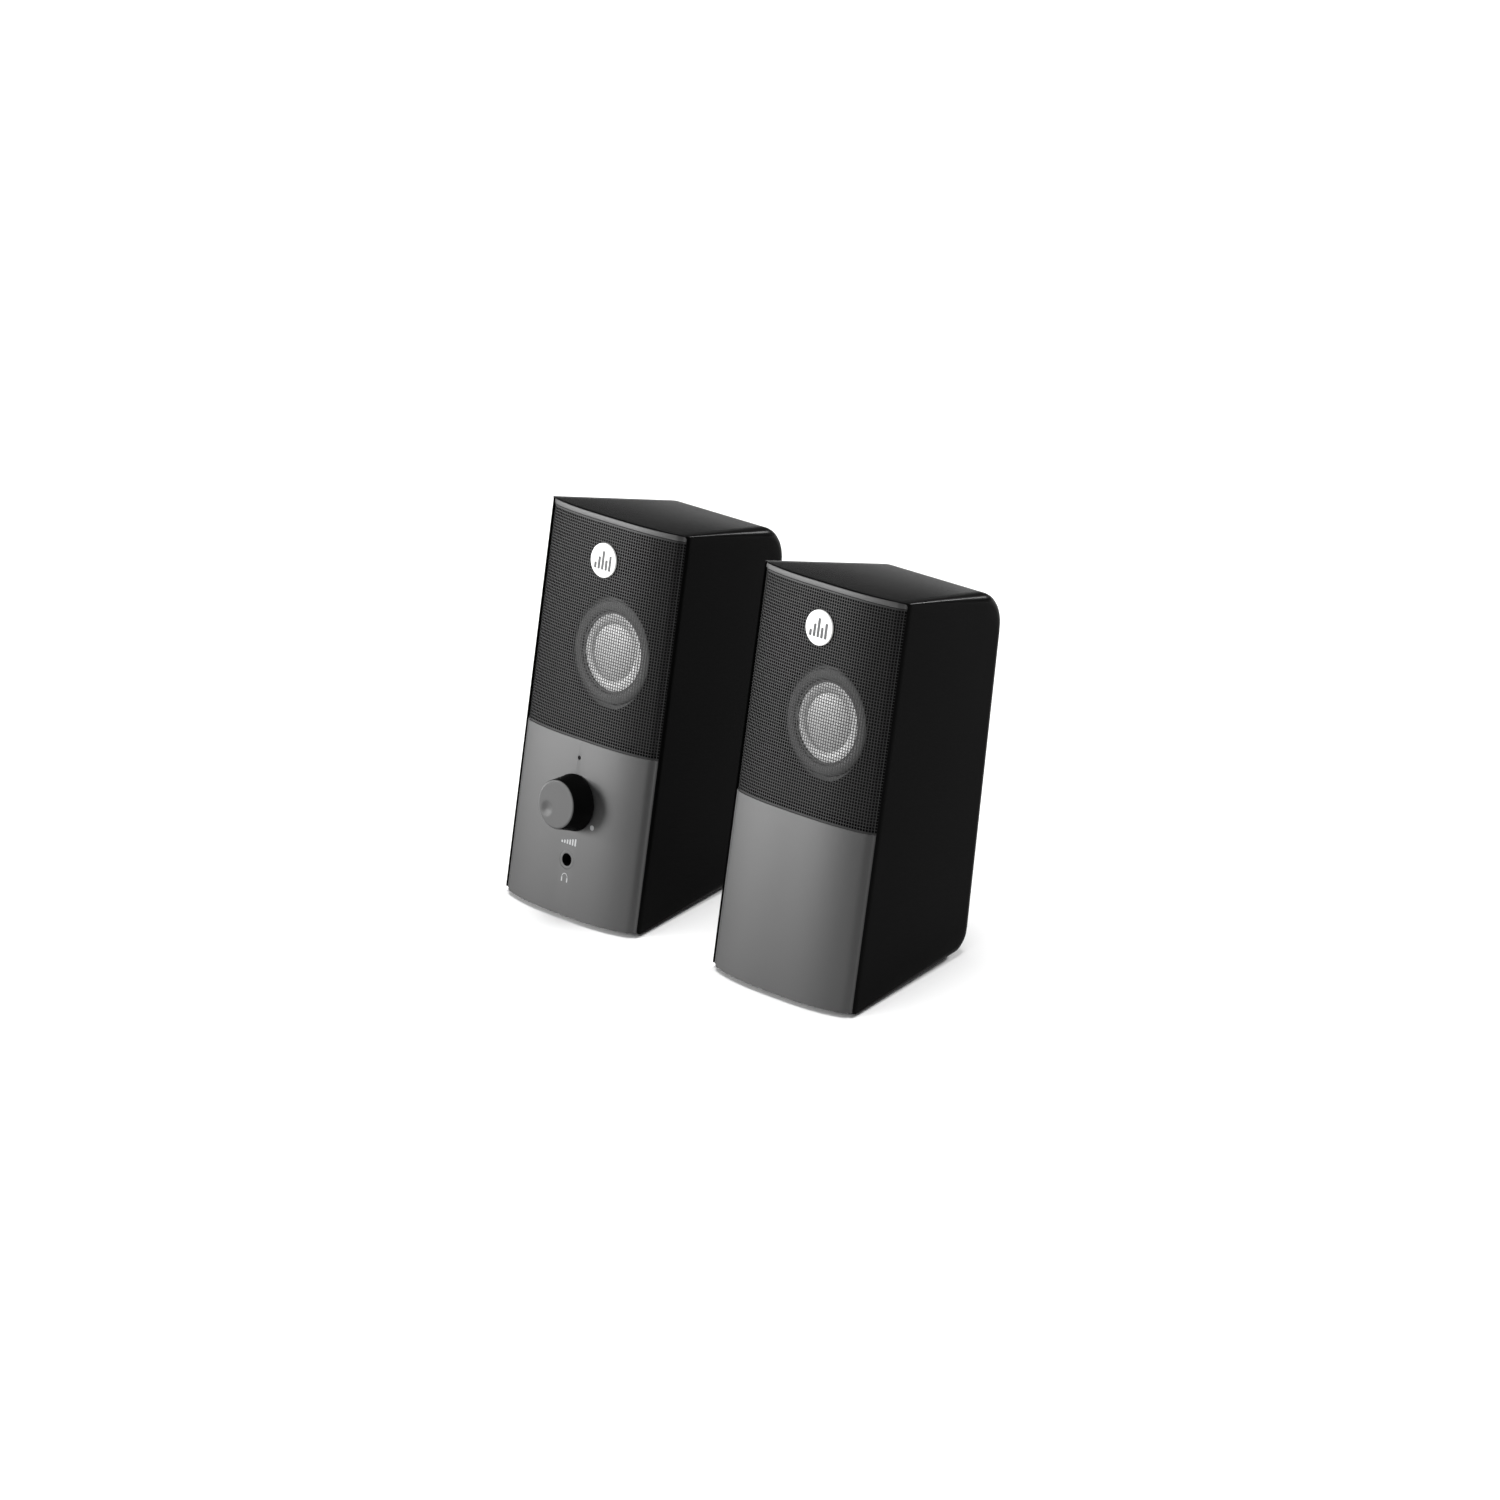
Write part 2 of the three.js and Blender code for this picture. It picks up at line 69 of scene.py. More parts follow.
# %% The leaning front's own axes
MM = 0.001
CENTRES = {"left": -60.0, "right": 60.0}      # each speaker's middle plane
ROOM_Y, FOOT = -49.124, 1.2                   # the speakers' zero line, and the feet
LEAN, REAR_LEAN = math.atan(0.1949), math.atan(0.1354)
APEX_Y, REAR_Y = -3.1, 85.98                  # foremost line and back, at floor level
HALF_W, SAGITTA = 39.13, 5.8                  # half the front's width, and its bulge
TAPER, SIDE_START = 0.15678, 2.68             # how the sides close in towards the back
TOP_Z, TOP_SLOPE = 172.22, 0.22462            # the sloping top
PANEL_HALF = 38.1                             # half the width of the grey front pieces


def bulge(x):
    """Depth of the front's surface behind its foremost line: a cubic that stays nearly
    flat in the middle and turns away quickly towards the two edges."""
    return SAGITTA * np.abs(x / HALF_W) ** 3


def tilted(x, c, h, angle=LEAN, y0=APEX_Y):
    """(x across, c inwards, h up the slope) to the speaker's level millimetres."""
    s, k = math.sin(angle), math.cos(angle)
    x, c, h = np.broadcast_arrays(x, c, h)
    return np.stack([x, y0 + h * s + c * k, h * k - c * s], -1).astype(float)


def back_tilted(x, n, v):
    """The same for the back panel: n points out of it, v up along it."""
    return tilted(x, n, v, REAR_LEAN, REAR_Y)


lo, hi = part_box("left_fascia")
print("left fascia spans", [round(v * 1000, 1) for v in (*lo, *hi)], "mm")

# %% [markdown]
# ## Tools for making meshes
# A surface is a grid of points. These tools join the grid's neighbours into quads, put
# the result in the room, close its seams and poles, turn its faces outwards and hand it
# to the body that it moves with. A turned part is a closed outline swept about an axis,
# and its corners are rounded first, because no moulded edge is truly sharp.

# %% Grids, turned parts and mesh objects
def quads(rows, cols, wrap_rows=False, wrap_cols=False, start=0):
    """The quads between neighbouring points of a rows x cols grid."""
    r = np.arange(rows if wrap_rows else rows - 1)
    k = np.arange(cols if wrap_cols else cols - 1)
    i, j = np.meshgrid(r, k, indexing="ij")
    i2, j2 = (i + 1) % rows, (j + 1) % cols
    q = np.stack([i * cols + j, i * cols + j2, i2 * cols + j2, i2 * cols + j], -1)
    return q.reshape(-1, 4) + start


def rounded(points, radii, steps=4):
    """A closed outline with each corner replaced by an arc: the arc's points are a
    quadratic curve pulled towards the corner, which is close to a circle when short."""
    p = np.asarray(points, float)
    out = []
    for here, before, after, r in zip(p, np.roll(p, 1, 0), np.roll(p, -1, 0), radii):
        if r == 0:
            out.append(here[None])
            continue
        a, b = before - here, after - here
        la, lb = np.linalg.norm(a), np.linalg.norm(b)
        cut = min(r, 0.49 * la, 0.49 * lb)
        t = np.linspace(0, 1, steps + 1)[:, None]
        p0, p2 = here + a / la * cut, here + b / lb * cut
        out.append((1 - t) ** 2 * p0 + 2 * t * (1 - t) * here + t ** 2 * p2)
    return np.concatenate(out)


def turn(profile, segments=96):
    """A closed (radius, c) outline swept about the c axis: x = r sin a, h = r cos a."""
    a = np.linspace(0, 2 * np.pi, segments, endpoint=False)
    r, c = np.asarray(profile, float).T
    x, h = r[:, None] * np.sin(a), r[:, None] * np.cos(a)
    points = np.stack([x, np.repeat(c[:, None], segments, 1), h], -1)
    return points.reshape(-1, 3), quads(len(r), segments, True, True)


def in_room(side, local):
    """Speaker millimetres to room metres."""
    return (np.asarray(local) + [CENTRES[side], ROOM_Y, FOOT]) * MM


def piece(name, side, local, faces, materials, body, stands_for=(),
          sharp=38, indices=None):
    """Makes one closed mesh object from speaker millimetres and gives it to a body."""
    mesh = bpy.data.meshes.new(name)
    mesh.from_pydata(in_room(side, local).tolist(), [], [list(f) for f in faces])
    if indices is not None:
        mesh.polygons.foreach_set("material_index", np.asarray(indices, np.int32))
    bm = bmesh.new()
    bm.from_mesh(mesh)
    bmesh.ops.remove_doubles(bm, verts=bm.verts, dist=2e-6)
    bmesh.ops.dissolve_degenerate(bm, edges=bm.edges, dist=1e-7)
    bmesh.ops.recalc_face_normals(bm, faces=bm.faces)
    bm.to_mesh(mesh)
    bm.free()
    mesh.shade_smooth()
    mesh.set_sharp_from_angle(angle=math.radians(sharp))
    obj = bpy.data.objects.new(name, mesh)
    bpy.context.scene.collection.objects.link(obj)
    for m in materials:
        mesh.materials.append(m)
    if stands_for:
        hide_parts(*stands_for)
    if body:
        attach(obj, body)
    return obj


def at_front(points, h0=0.0, x0=0.0):
    """Points given about a spot on the front, moved there and tilted with it."""
    p = np.asarray(points)
    return tilted(p[:, 0] + x0, p[:, 1], p[:, 2] + h0)


print("a test ring has", len(turn([[1, 0], [2, 0], [2, 1], [1, 1]])[1]), "quads")

# %% [markdown]
# ## Tools for materials
# Colours are written as the hex values that a paint chart gives and turned to linear
# light by one function. One small function adds a node with its settings and links. Every
# pattern reads Object coordinates, so it stays with the piece, and its scale comes from a
# real size in millimetres.

# %% Colour and node helpers
def linear(hex_value):
    """An sRGB hex colour as linear RGBA."""
    rgb = [((hex_value >> s) & 255) / 255 for s in (16, 8, 0)]
    return [c / 12.92 if c <= 0.04045 else ((c + 0.055) / 1.055) ** 2.4 for c in rgb] + [1.0]


def node(tree, kind, settings=None, values=None, links=None):
    """Adds a node, sets its properties and sockets, and links sockets from (node, output)."""
    n = tree.nodes.new(kind)
    for key, value in (settings or {}).items():
        setattr(n, key, value)
    for key, value in (values or {}).items():
        n.inputs[key].default_value = value
    for key, (source, output) in (links or {}).items():
        tree.links.new(source.outputs[output], n.inputs[key])
    return n


def ramp_points(n, stops):
    """Sets a colour ramp's stops from (place, colour)."""
    band = n.color_ramp
    while len(band.elements) < len(stops):
        band.elements.new(0.5)
    for element, (place, colour) in zip(band.elements, stops):
        element.position, element.color = place, colour
    return n


def finish_material(name, base, shader, noise_mm=1.0, tone=0.04, rough=(0.4, 0.5),
                    bump=0.0, bump_mm=None, detail=3.0):
    """A solid finish whose tone, roughness and fine relief follow one or two noises.
    tone is how far the colour swings either way; rough is the roughness range; bump is
    the relief's height in metres at the scale bump_mm."""
    m = bpy.data.materials.new(name)
    m.use_nodes = True
    t = m.node_tree
    t.nodes.clear()
    out = node(t, "ShaderNodeOutputMaterial")
    bsdf = node(t, "ShaderNodeBsdfPrincipled", values=shader)
    t.links.new(bsdf.outputs["BSDF"], out.inputs["Surface"])
    place = node(t, "ShaderNodeTexCoord")
    noise = node(t, "ShaderNodeTexNoise",
                 values={"Scale": 1000.0 / noise_mm, "Detail": detail, "Roughness": 0.55},
                 links={"Vector": (place, "Object")})
    c = linear(base)
    dark = [v * (1 - tone) for v in c[:3]] + [1.0]
    light = [v * (1 + tone) for v in c[:3]] + [1.0]
    colour = ramp_points(node(t, "ShaderNodeValToRGB", links={"Fac": (noise, "Fac")}),
                         [(0.35, dark), (0.65, light)])
    t.links.new(colour.outputs["Color"], bsdf.inputs["Base Color"])
    sheen = node(t, "ShaderNodeMapRange",
                 values={"From Min": 0.3, "From Max": 0.7, "To Min": rough[0], "To Max": rough[1]},
                 links={"Value": (noise, "Fac")})
    t.links.new(sheen.outputs["Result"], bsdf.inputs["Roughness"])
    if bump:
        grain = node(t, "ShaderNodeTexNoise",
                     values={"Scale": 1000.0 / (bump_mm or noise_mm), "Detail": 2.0},
                     links={"Vector": (place, "Object")})
        relief = node(t, "ShaderNodeBump", values={"Strength": 1.0, "Distance": bump},
                      links={"Height": (grain, "Fac")})
        t.links.new(relief.outputs["Normal"], bsdf.inputs["Normal"])
    return m


print("mid grey in linear light:", round(linear(0x808080)[0], 4))

# %% [markdown]
# ## The finishes
# The cabinet is black ABS with a soft gloss: very dark, with broad highlights on its
# rounded edges. The fascia and strip are ABS under a satin gunmetal paint, whose fine
# metal flakes give a sheen that fades across the bulge. The grille is perforated steel
# under a dark powder coat. Inside are a bright metallised cone and a rubber surround.

# %% Make the materials
# Black ABS: the low specular level keeps the floor's reflection in the sides faint.
GLOSS_BLACK = finish_material(
    "gloss_black_abs", 0x0A0A0A, {"IOR": 1.46, "Specular IOR Level": 0.009},
    noise_mm=60, tone=0.06, rough=(0.22, 0.26))
# Satin paint with metal flakes: part metallic, and a dark tint holds back its glancing glare.
SATIN_GREY = finish_material(
    "satin_gunmetal_paint", 0x4E4E4E,
    {"Metallic": 0.7, "Specular Tint": (0.15, 0.15, 0.15, 1.0), "Specular IOR Level": 0.1},
    noise_mm=0.45, tone=0.02, rough=(0.46, 0.54), bump=2e-6, bump_mm=0.45)
# The knob's face is plain satin plastic, with no flakes.
KNOB_GREY = finish_material(
    "satin_dark_grey_abs", 0x414141, {"IOR": 1.46, "Specular IOR Level": 0.25},
    noise_mm=0.45, tone=0.02, rough=(0.40, 0.50), bump=2e-6, bump_mm=0.45)
# Dark metallic powder coat over perforated steel, slightly rough, so the web catches light.
GRILLE_BLACK = finish_material(
    "powder_coated_steel", 0x343434,
    {"Metallic": 0.6, "Specular Tint": (0.15, 0.15, 0.15, 1.0), "Specular IOR Level": 0.1},
    noise_mm=0.3, tone=0.08, rough=(0.38, 0.52), bump=8e-6, bump_mm=0.25)
MATTE_BLACK = finish_material(
    "textured_black_abs", 0x0B0B0B, {"IOR": 1.46, "Specular IOR Level": 0.2},
    noise_mm=0.8, tone=0.10, rough=(0.5, 0.65), bump=2e-5, bump_mm=0.6)
# Black paint made darker than any real black, as painted shade. The baffle sits behind the grille,
# which casts no shadow, and this colour gives both the baffle and the socket's bore their shade.
BLACK_PAINT_AND_PAINTED_SHADE = finish_material(
    "dull_black_paint_and_painted_shade", 0x030303, {"IOR": 1.4, "Specular IOR Level": 0.05},
    noise_mm=0.8, tone=0.10, rough=(0.85, 0.95), bump=2e-5, bump_mm=0.6)
BADGE_WHITE = finish_material(
    "white_pad_printed_abs", 0xF2F2F0, {"IOR": 1.46},
    noise_mm=3, tone=0.01, rough=(0.28, 0.36))
PRINT_GREY = finish_material(
    "light_grey_screen_ink", 0x9C9D9E, {"IOR": 1.46},
    noise_mm=0.3, tone=0.03, rough=(0.5, 0.6))
BADGE_INK = finish_material(
    "dark_screen_ink", 0x202124, {"IOR": 1.46},
    noise_mm=0.3, tone=0.04, rough=(0.45, 0.55))
CONE_SILVER = finish_material(
    "metallised_polypropylene", 0x929292, {"IOR": 1.5},
    noise_mm=0.8, tone=0.02, rough=(0.32, 0.42), bump=6e-6, bump_mm=0.9)
SURROUND_RUBBER = finish_material(
    "butyl_rubber", 0x101010, {"IOR": 1.52},
    noise_mm=0.5, tone=0.05, rough=(0.6, 0.72), bump=5e-6, bump_mm=0.4)
FOOT_RUBBER = finish_material(
    "moulded_rubber", 0x232324, {"IOR": 1.52},
    noise_mm=0.7, tone=0.08, rough=(0.7, 0.85), bump=1.5e-5, bump_mm=0.5)
COATED_STEEL = finish_material(
    "black_oxide_steel", 0x1B1C1E, {"Metallic": 0.9},
    noise_mm=1.2, tone=0.12, rough=(0.35, 0.5), bump=6e-6, bump_mm=0.5)
ZINC_STEEL = finish_material(
    "zinc_plated_steel", 0xB9BBBE, {"Metallic": 1.0},
    noise_mm=1.5, tone=0.05, rough=(0.25, 0.38))
FERRITE = finish_material(
    "sintered_ferrite", 0x38393C, {"IOR": 1.6},
    noise_mm=0.9, tone=0.12, rough=(0.65, 0.8), bump=2e-5, bump_mm=0.8)
FORMER_AMBER = finish_material(
    "amber_film_and_enamelled_copper", 0xA8662A, {"Metallic": 0.3},
    noise_mm=0.4, tone=0.1, rough=(0.3, 0.4))
SPIDER_COTTON = finish_material(
    "resin_treated_cotton", 0xC09A58, {"IOR": 1.45},
    noise_mm=0.5, tone=0.12, rough=(0.85, 0.95), bump=3e-5, bump_mm=0.5)
BOARD_GREEN = finish_material(
    "green_solder_resist", 0x1D5B35, {"IOR": 1.5},
    noise_mm=2.5, tone=0.12, rough=(0.35, 0.5), bump=8e-6, bump_mm=1.0)
RESIN_BLACK = finish_material(
    "moulded_resin", 0x1E1F22, {"IOR": 1.5},
    noise_mm=0.8, tone=0.1, rough=(0.45, 0.6), bump=1e-5, bump_mm=0.5)
LENS = finish_material(
    "smoked_polycarbonate", 0x050607, {"IOR": 1.58, "Specular IOR Level": 0.05},
    noise_mm=1.0, tone=0.05, rough=(0.08, 0.14))
print(len(bpy.data.materials), "materials")

# %% [markdown]
# ## The cabinet
# The real cabinet is one moulding: an open box with 2.4 mm walls, rounded at the back,
# into which the fascia and grille clip. It could be a box with booleans, but a single
# closed sheet of rings gives clean highlights: each ring runs round the box, and rings
# step over the front rim, along the outside, round the back, down into the recess for
# the back panel, through its opening, and forwards along the inside to the rim again.

# %% The side view of the cabinet
WALL, REAR_WALL = 2.4, 5.0
TOP_REAR_R, LOW_REAR_R = 16.3, 10.1
FRONT_EDGE_R, EDGE_R = 0.6, 4.2    # the long edges' rounding grows towards the back
ACROSS, UP, CORNER = 21, 25, 5     # points on a ring's level runs, uprights and corners


def arc_between(p, u, v, radius, steps):
    """Points and outward normals of the fillet at corner p between directions u and v."""
    u, v = np.array(u) / np.linalg.norm(u), np.array(v) / np.linalg.norm(v)
    half = math.acos(u @ v) / 2
    middle = (u + v) / np.linalg.norm(u + v)
    centre = p + middle * radius / math.sin(half)
    a, b = p + u * radius / math.tan(half) - centre, p + v * radius / math.tan(half) - centre
    t = np.linspace(0, 1, steps)[:, None]
    spread = math.pi - 2 * half
    arm = (np.sin((1 - t) * spread) * a + np.sin(t * spread) * b) / math.sin(spread)
    return centre + arm, arm / radius


def side_rails(inset, rear_inset, steps=12):
    """The two rails that rings ride on, in (y, z): the bottom one runs back along the
    floor and turns up, the top one runs back along the top and turns down. Each gives
    points and outward normals, ending on the back face."""
    k = 1 / math.cos(REAR_LEAN)
    slope = math.tan(REAR_LEAN)
    rear = REAR_Y - rear_inset * k
    top0 = TOP_Z - inset / math.cos(math.atan(TOP_SLOPE))
    y = (rear + slope * top0) / (1 + slope * TOP_SLOPE)
    low_corner = np.array([rear + slope * inset, inset])
    top_corner = np.array([y, top0 - TOP_SLOPE * y])
    up = [slope, 1.0]
    low = arc_between(low_corner, [-1, 0], up, LOW_REAR_R - inset, steps)
    top = arc_between(top_corner, [-1, TOP_SLOPE], [-slope, -1], TOP_REAR_R - inset, steps)
    return low, top


def half_width(y, z, inset=0.0):
    """Half the cabinet's width at a place in the side view."""
    depth = y - z * math.tan(LEAN)
    return HALF_W - TAPER * (depth - SIDE_START) - inset * math.hypot(1, TAPER)


# A ring's layout: where each point is across (-1 to 1), up (0 to 1) and round its corner.
level = np.linspace(-1, 1, ACROSS)[1:-1]
corner = np.linspace(0, math.pi / 2, CORNER)
climb = np.linspace(0, 1, UP)[1:-1]
half_turn = np.concatenate([corner, np.full(UP - 2, math.pi / 2), corner[::-1]])
half_up = np.concatenate([np.zeros(CORNER), climb, np.ones(CORNER)])
TURN = np.concatenate([0 * level, half_turn, 0 * level, half_turn[::-1]])
RISE = np.concatenate([0 * level, half_up, 0 * level + 1, half_up[::-1]])
SIDE = np.concatenate([level, 0 * half_up + 1, -level, 0 * half_up - 1])
RING = len(TURN)
UPWARD = np.array([math.sin(REAR_LEAN), math.cos(REAR_LEAN)])


def ring(low, low_n, top, top_n, inset, edge, limit=math.pi / 2, lift=0.0):
    """One ring round the box. low and top are (y, z) places on the rails with their
    outward normals. Level runs lie on the rails, corners turn by an arc of radius edge
    towards the sides, and uprights join them: q = rail - edge (1 - cos a) normal."""
    a = np.minimum(TURN, limit)
    back_off = (edge * (1 - np.cos(a)))[:, None]
    t = RISE[:, None]
    q = (1 - t) * (low + lift * UPWARD - back_off * low_n)
    q = q + t * (top - lift * UPWARD - back_off * top_n)
    x = SIDE * (half_width(q[:, 0], q[:, 1], inset) - edge) + np.sign(SIDE) * edge * np.sin(a)
    return np.column_stack([x, q])


print("each ring has", RING, "points")

# %% [markdown]
# The front rim follows the bulge of the face, so its rings are placed by how far they lie
# inside the outer skin and how far behind the face. On the sides the wall comes forward
# as a thin black lip beside the grey front. On top only a thin lip shows too, and below,
# the wall stops behind the fascia.

# %% Rings of the front rim and of the back panel's recess
RIM = {"side": [(2.35, 6), (2.35, 2.6), (1.0, 2.6), (0.95, 0.9), (0.7, 0.6), (0.35, 0.9),
                (0.1, 1.8), (0, 3.2)],
       "top": [(2.35, 6), (2.35, 2.7), (0.6, 2.7), (0.55, 0.4), (0.42, 0.12), (0.22, 0.1),
               (0.06, 0.25), (0, 0.7)],
       "bottom": [(2.35, 6), (2.35, 2.9), (1.7, 2.6), (1.2, 2.5), (0.8, 2.5), (0.4, 2.6),
                  (0.1, 2.8), (0, 3.2)]}


def rim_ring(step, edge):
    """A ring at the front. Each point has an inset and a depth behind the face, blended
    round the corners from the sides' values to the top's or the bottom's."""
    share = np.sin(TURN)[:, None] ** 2
    ends = np.where(RISE[:, None] > 0.5, RIM["top"][step], RIM["bottom"][step])
    inset, behind = ((1 - share) * ends + share * RIM["side"][step]).T
    k, s = math.cos(LEAN), math.tan(LEAN)
    side_inset, side_behind = RIM["side"][step]
    depth = APEX_Y + (bulge(HALF_W - side_inset) + side_behind) / k
    w = half_width(depth, 0.0, side_inset)
    x = SIDE * (w - edge) + np.sign(SIDE) * edge * np.sin(TURN)
    rise = edge * (1 - np.cos(TURN))
    start = APEX_Y + (bulge(x) + behind) / k
    low_z = inset + rise
    high_z = TOP_Z - (inset + rise) / math.cos(math.atan(TOP_SLOPE)) - TOP_SLOPE * start
    high_z = high_z / (1 + TOP_SLOPE * s)
    z = (1 - RISE) * low_z + RISE * high_z
    return np.column_stack([x, start + z * s, z])


def plate_ring(half, low, high, radius, n):
    """A rounded rectangle on the back face, in the same layout as a ring."""
    a = math.pi / 2 - TURN
    x = SIDE * (half - radius) + np.sign(SIDE) * radius * np.cos(a) * (TURN > 0)
    rise = radius * (1 - np.cos(TURN))
    v = (1 - RISE) * (low + rise) + RISE * (high - rise)
    return back_tilted(x, n, v)


# %% The whole cabinet, as one closed sheet of rings
PLATE = (20.0, 15.0, 126.0, 5.0)          # the back panel's half width, low, high, corner


def cabinet_rings():
    """Rim, outside, back, recess, opening and inside, in order; the last meets the first."""
    rings = [rim_ring(i, FRONT_EDGE_R) for i in range(len(RIM["side"]))]
    (low, low_n), (top, top_n) = side_rails(0, 0)
    rings += [ring(low[i], low_n[i], top[i], top_n[i], 0, EDGE_R) for i in range(len(low))]
    for i, limit in enumerate(np.linspace(math.pi / 2, 0, 6)[1:]):
        rings.append(ring(low[-1], low_n[-1], top[-1], top_n[-1], 0, EDGE_R, limit,
                          0.4 * (i + 1)))
    half, bottom, height, radius = PLATE
    for grow, n in ((0.9, 0.0), (0.5, 0.0), (0.25, -0.25), (0.25, -2.25)):
        rings.append(plate_ring(half + grow, bottom - grow, height + grow, radius + grow, n))
    for n in (-2.25, -REAR_WALL):
        rings.append(plate_ring(12.5, bottom + 10, height - 10, 4, n))
    (low, low_n), (top, top_n) = side_rails(WALL, REAR_WALL)
    for i in reversed(range(len(low))):
        rings.append(ring(low[i], low_n[i], top[i], top_n[i], WALL, 0.5))
    return np.stack(rings)


for side in CENTRES:
    rings = cabinet_rings()
    cabinet = piece(f"{side}_cabinet_skin", side, rings.reshape(-1, 3),
                    quads(len(rings), RING, True, True), [GLOSS_BLACK], f"{side}_speaker",
                    [f"{side}_cabinet"])
    print(cabinet.name, len(cabinet.data.polygons), "faces")

# %% [markdown]
# ## The grey front pieces
# The fascia and the thin strip above the grille are the same curved moulding, cut to
# different heights. Each is a rounded outline in (depth, height) carried across the
# speaker along the bulge. Its two upright edges roll back through part of a circle, and a
# soft groove runs down each roll. The left fascia then has three holes bored, for the
# light, the knob's shaft and the socket.

# %% Curved panels
THICK, ROLL, ROLL_TURN = 2.2, 4.6, math.radians(50)
GROOVE_AT, GROOVE_WIDE, GROOVE_DEEP = 36.4, 0.9, 0.8


def edge_roll(x):
    """How much further a front piece falls back near its upright edges, where it turns
    through an arc: roll - sqrt(roll^2 - u^2), u being the way into the arc. A soft groove
    runs down each edge, with a bell curve for its section."""
    u = np.clip(np.abs(x) - (PANEL_HALF - ROLL * math.sin(ROLL_TURN)), 0, None)
    groove = GROOVE_DEEP * np.exp(-((np.abs(x) - GROOVE_AT) / GROOVE_WIDE) ** 2)
    return ROLL - np.sqrt(ROLL ** 2 - u ** 2) + groove


def panel_points(h0, h1, level_foot, stations=73, soft=0.3):
    """A closed (c, h) outline carried along x. Front points follow bulge(x) and the edge
    roll, and back points follow bulge(x) only, so that the piece thins to its edges. A
    level foot rises by c tan(lean) up the slope, so that its bottom is flat on the desk."""
    outline = rounded([[0, h0], [0, h1], [THICK, h1], [THICK, h0]], [soft, soft, 0.15, 0.15], 5)
    reach = ROLL * math.sin(ROLL_TURN)
    ends = PANEL_HALF - reach + ROLL * np.sin(np.linspace(0, ROLL_TURN, 12))
    mids = np.linspace(-ends[0], ends[0], stations)
    x = np.concatenate([-ends[::-1], mids[1:-1], ends])
    share = 1 - outline[:, 0] / THICK
    c = bulge(x)[:, None] + outline[:, 0] + edge_roll(x)[:, None] * share
    h = np.repeat(outline[None, :, 1], len(x), 0)
    if level_foot:
        h = h + np.where(h < (h0 + h1) / 2, c * math.tan(LEAN), 0)
    xx = np.repeat(x[:, None], len(outline), 1)
    return tilted(xx, c, h)


def panel_faces(rows, cols):
    """The tube of quads along the panel, with its two flat ends closed."""
    faces = quads(rows, cols, False, True).tolist()
    return faces + [list(range(cols)), list(range((rows - 1) * cols, rows * cols))]


def bore(obj, side, holes):
    """Cuts round holes given as (x, h, radius) straight through a front piece."""
    for x0, h0, radius in holes:
        points, faces = turn([[0, -6], [radius, -6], [radius, 8], [0, 8]], 64)
        tool = piece("hole_tool", side, at_front(points, h0, x0), faces, [], None)
        cut = obj.modifiers.new("hole", "BOOLEAN")
        cut.operation, cut.object, cut.solver = "DIFFERENCE", tool, "EXACT"
        deps = bpy.context.evaluated_depsgraph_get()
        mesh = bpy.data.meshes.new_from_object(obj.evaluated_get(deps))
        obj.modifiers.clear()
        obj.data = mesh
        bpy.data.objects.remove(tool)
    obj.data.shade_smooth()
    obj.data.set_sharp_from_angle(angle=math.radians(38))


LED_H, KNOB_H, JACK_H, BADGE_H, DRIVER_H = 67.5, 48.6, 24.2, 150.4, 111.0
for side in CENTRES:
    body = f"{side}_speaker"
    for name, h0, h1 in (("fascia", 0.8, 74.8), ("top_trim", 166.0, 168.2)):
        points = panel_points(h0, h1, name == "fascia")
        rows, cols = points.shape[:2]
        panel = piece(f"{side}_{name}_skin", side, points.reshape(-1, 3),
                      panel_faces(rows, cols), [SATIN_GREY], body, [f"{side}_{name}"])
        if (side, name) == ("left", "fascia"):
            bore(panel, side, [(0, LED_H, 0.9), (0, KNOB_H, 3.8), (0, JACK_H, 4.0)])
        print(panel.name, len(panel.data.polygons), "faces")

# %% [markdown]
# ## The perforated grilles
# The sheet is punched with square holes on a square lattice of 1.245 mm, leaving a web of
# about 0.3 mm. An image would look flat from close by, so the holes are real: a grid has
# a line on each side of every hole, the hole's own squares are left out, and walls join
# the front to the back. The sheet is drawn thinner than real steel, which keeps the holes
# open in a slanting view. Columns are spaced by length along the bent sheet, so they
# bunch up towards the edges when seen from the front, as a rolled sheet's do.

# %% Punch and bend the grilles
PITCH, HOLE, SHEET = 1.245, 0.95, 0.14
COLUMNS, ROWS = 63, 72
GRILLE_LOW, GRILLE_HIGH, GRILLE_LIFT = 75.0, 165.8, 0.3


def lattice(count, low, high):
    """Line positions across a run of holes centred between low and high: the border,
    then both edges of each hole, then the border."""
    middles = (np.arange(count) - (count - 1) / 2) * PITCH + (low + high) / 2
    edges = np.stack([middles - HOLE / 2, middles + HOLE / 2], 1).ravel()
    return np.concatenate([[low], edges, [high]])


def along_bend(half):
    """Tables of x and of length along the bend, so that length can be turned into x."""
    x = np.linspace(-half, half, 2001)
    step = np.hypot(np.diff(x), np.diff(bulge(x) + edge_roll(x)))
    length = np.concatenate([[0], np.cumsum(step)])
    return x, length - length[-1] / 2


